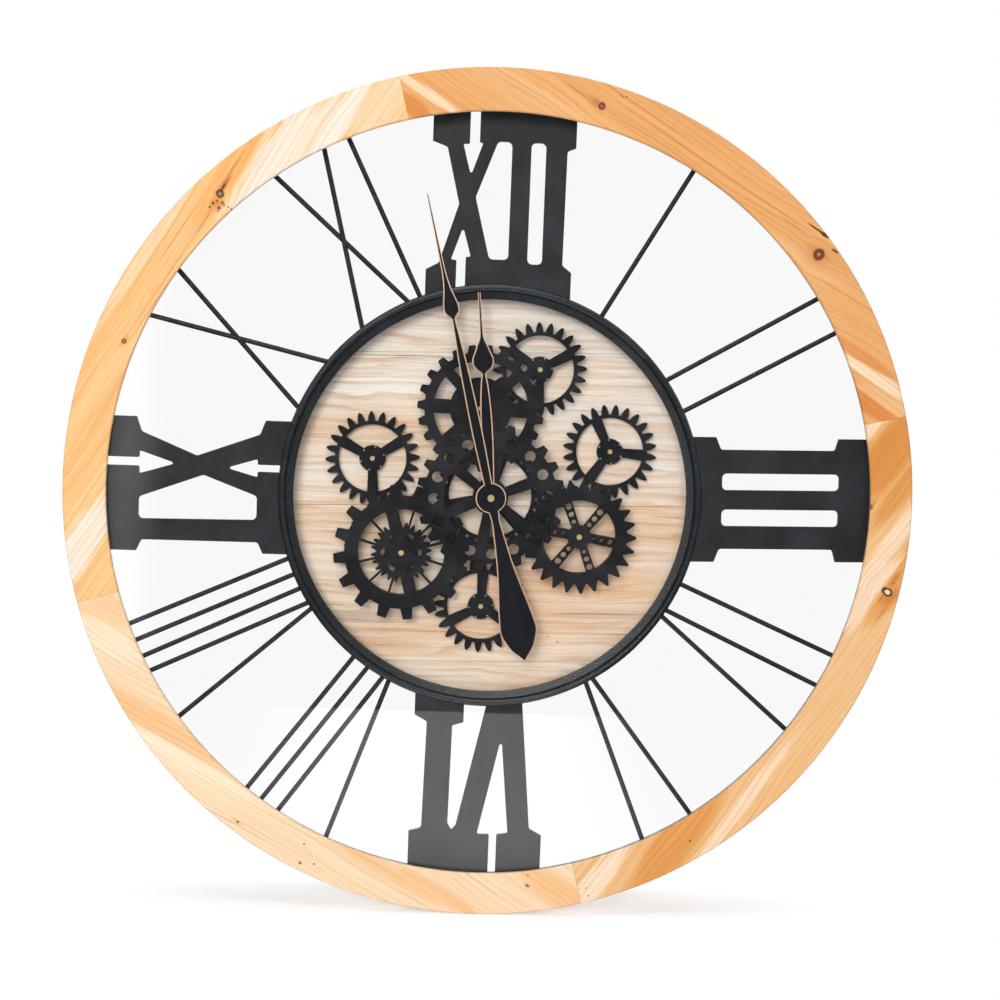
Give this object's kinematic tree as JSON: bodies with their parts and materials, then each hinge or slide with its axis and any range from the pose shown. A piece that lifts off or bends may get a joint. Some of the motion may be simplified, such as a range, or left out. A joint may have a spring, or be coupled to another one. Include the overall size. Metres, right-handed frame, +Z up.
{
  "type": "wall clock",
  "caption": "Round wooden-framed wall clock with glass, steel roman numerals, a plank dial with turning meshed wheels, and copper-edged black hands.",
  "frame": {"origin": "on the axis of the hands, in the plane of the wall, on the flat back of the movement case", "axes": "+Z up towards XII, +X to the right towards III as seen from the front, the front looks to -Y and +Y goes into the wall"},
  "size_m": [0.6, 0.062, 0.6],
  "materials": {
    "wood_ring": "satin",
    "dial_wood": "matt",
    "plywood": "matt",
    "glass": "clear",
    "black_steel": "satin",
    "wheel_black": "matt",
    "hand_black": "gloss with a copper-coloured edge",
    "brass": "polished",
    "zinc": "zinc plated",
    "black_plastic": "moulded",
    "pale_plastic": "moulded",
    "cell_wrap": "printed sleeve",
    "rubber": "soft"
  },
  "bodies": {
    "clock": {"wood_segment_upper_right": "wood_ring", "wood_segment_upper_left": "wood_ring", "wood_segment_lower_left": "wood_ring", "wood_segment_lower_right": "wood_ring", "glass_cover": "glass", "glass_hoop": "black_steel", "frame_ring": "black_steel", "plate_xii": "black_steel", "plate_iii": "black_steel", "plate_vi": "black_steel", "plate_ix": "black_steel", "rods_i": "black_steel", "rods_ii": "black_steel", "rods_iv": "black_steel", "rods_v": "black_steel", "rods_vii": "black_steel", "rods_viii": "black_steel", "rods_x": "black_steel", "rods_xi": "black_steel", "drum_shell": "black_steel", "dial_backing": "plywood", "dial_planks": "dial_wood", "rear_cover": "black_steel", "hanger_plate": "black_steel", "movement_case": "black_plastic", "movement_nut": "zinc", "batteries": "cell_wrap", "battery_contacts": "zinc", "battery_box": "black_plastic", "gear_motor": "black_plastic", "brass_posts": "brass", "arbor_bushes": "brass", "wall_bumpers": "rubber", "rear_screws": "zinc"},
    "battery_cover": {"battery_cover": "black_plastic"},
    "set_knob": {"set_knob": "black_plastic"},
    "motor_pinion": {"motor_pinion": "pale_plastic"},
    "central_train": {"central_wheel": "wheel_black", "central_ring": "wheel_black", "central_drive_gear": "wheel_black"},
    "upper_train": {"upper_wheel": "wheel_black", "upper_pinion": "wheel_black"},
    "top_train": {"top_gear": "wheel_black", "top_arbor": "brass", "top_transfer_gear": "pale_plastic"},
    "left_wheel": {"left_gear": "wheel_black"},
    "right_train": {"right_gear": "wheel_black", "right_arbor": "brass", "right_transfer_gear": "pale_plastic"},
    "lower_left_train": {"lower_left_wheel": "wheel_black", "lower_left_drive_gear": "wheel_black", "lower_left_front_gear": "wheel_black"},
    "lower_right_train": {"lower_right_wheel": "wheel_black", "lower_right_drive_gear": "wheel_black"},
    "bottom_wheel": {"bottom_gear": "wheel_black"},
    "minute_hand": {"minute_hand": "hand_black", "minute_arbor": "brass", "hand_nut": "brass"},
    "hour_hand": {"hour_hand": "hand_black", "hour_arbor": "brass"}
  },
  "joints": [
    {"name": "central_spin", "type": "hinge", "parent": "clock", "child": "central_train", "pos_m": [0, 0, 0], "axis": [0, 1, 0], "continuous": true},
    {"name": "lower_left_spin", "type": "hinge", "parent": "clock", "child": "lower_left_train", "pos_m": [-0.06258, 0, -0.04205], "axis": [0, 1, 0], "continuous": true},
    {"name": "lower_right_spin", "type": "hinge", "parent": "clock", "child": "lower_right_train", "pos_m": [0.06495, 0, -0.02664], "axis": [0, 1, 0], "continuous": true},
    {"name": "left_spin", "type": "hinge", "parent": "clock", "child": "left_wheel", "pos_m": [-0.08555, 0, 0.02428], "axis": [0, 1, 0], "continuous": true},
    {"name": "bottom_spin", "type": "hinge", "parent": "clock", "child": "bottom_wheel", "pos_m": [-0.00378, 0, -0.08039], "axis": [0, 1, 0], "continuous": true},
    {"name": "right_spin", "type": "hinge", "parent": "clock", "child": "right_train", "pos_m": [0.08525, 0, 0.03511], "axis": [0, 1, 0], "continuous": true},
    {"name": "top_spin", "type": "hinge", "parent": "clock", "child": "top_train", "pos_m": [0.03226, 0, 0.09234], "axis": [0, 1, 0], "continuous": true},
    {"name": "upper_spin", "type": "hinge", "parent": "clock", "child": "upper_train", "pos_m": [-0.00923, 0, 0.06319], "axis": [0, 1, 0], "continuous": true},
    {"name": "motor_spin", "type": "hinge", "parent": "clock", "child": "motor_pinion", "pos_m": [0.09871, 0, -0.01512], "axis": [0, 1, 0], "continuous": true},
    {"name": "minute_spin", "type": "hinge", "parent": "clock", "child": "minute_hand", "pos_m": [0, 0, 0], "axis": [0, 1, 0], "continuous": true},
    {"name": "hour_spin", "type": "hinge", "parent": "clock", "child": "hour_hand", "pos_m": [0, 0, 0], "axis": [0, 1, 0], "continuous": true},
    {"name": "knob_spin", "type": "hinge", "parent": "clock", "child": "set_knob", "pos_m": [0, 0, -0.0145], "axis": [0, 1, 0], "continuous": true},
    {"name": "battery_cover_slide", "type": "slide", "parent": "clock", "child": "battery_cover", "axis": [-1, 0, 0], "range_m": [0, 0.04]}
  ],
  "couplings": [
    {"joint": "lower_left_spin", "follows": "central_spin", "ratio": -0.93333},
    {"joint": "lower_right_spin", "follows": "central_spin", "ratio": -1.0769},
    {"joint": "left_spin", "follows": "central_spin", "ratio": 1.1667},
    {"joint": "bottom_spin", "follows": "central_spin", "ratio": 1.1667},
    {"joint": "right_spin", "follows": "central_spin", "ratio": 1.1667},
    {"joint": "top_spin", "follows": "central_spin", "ratio": -1.1667},
    {"joint": "upper_spin", "follows": "central_spin", "ratio": 1.8667},
    {"joint": "motor_spin", "follows": "central_spin", "ratio": -3.5},
    {"joint": "hour_spin", "follows": "minute_spin", "ratio": 0.083333},
    {"joint": "knob_spin", "follows": "minute_spin", "ratio": -1}
  ]
}
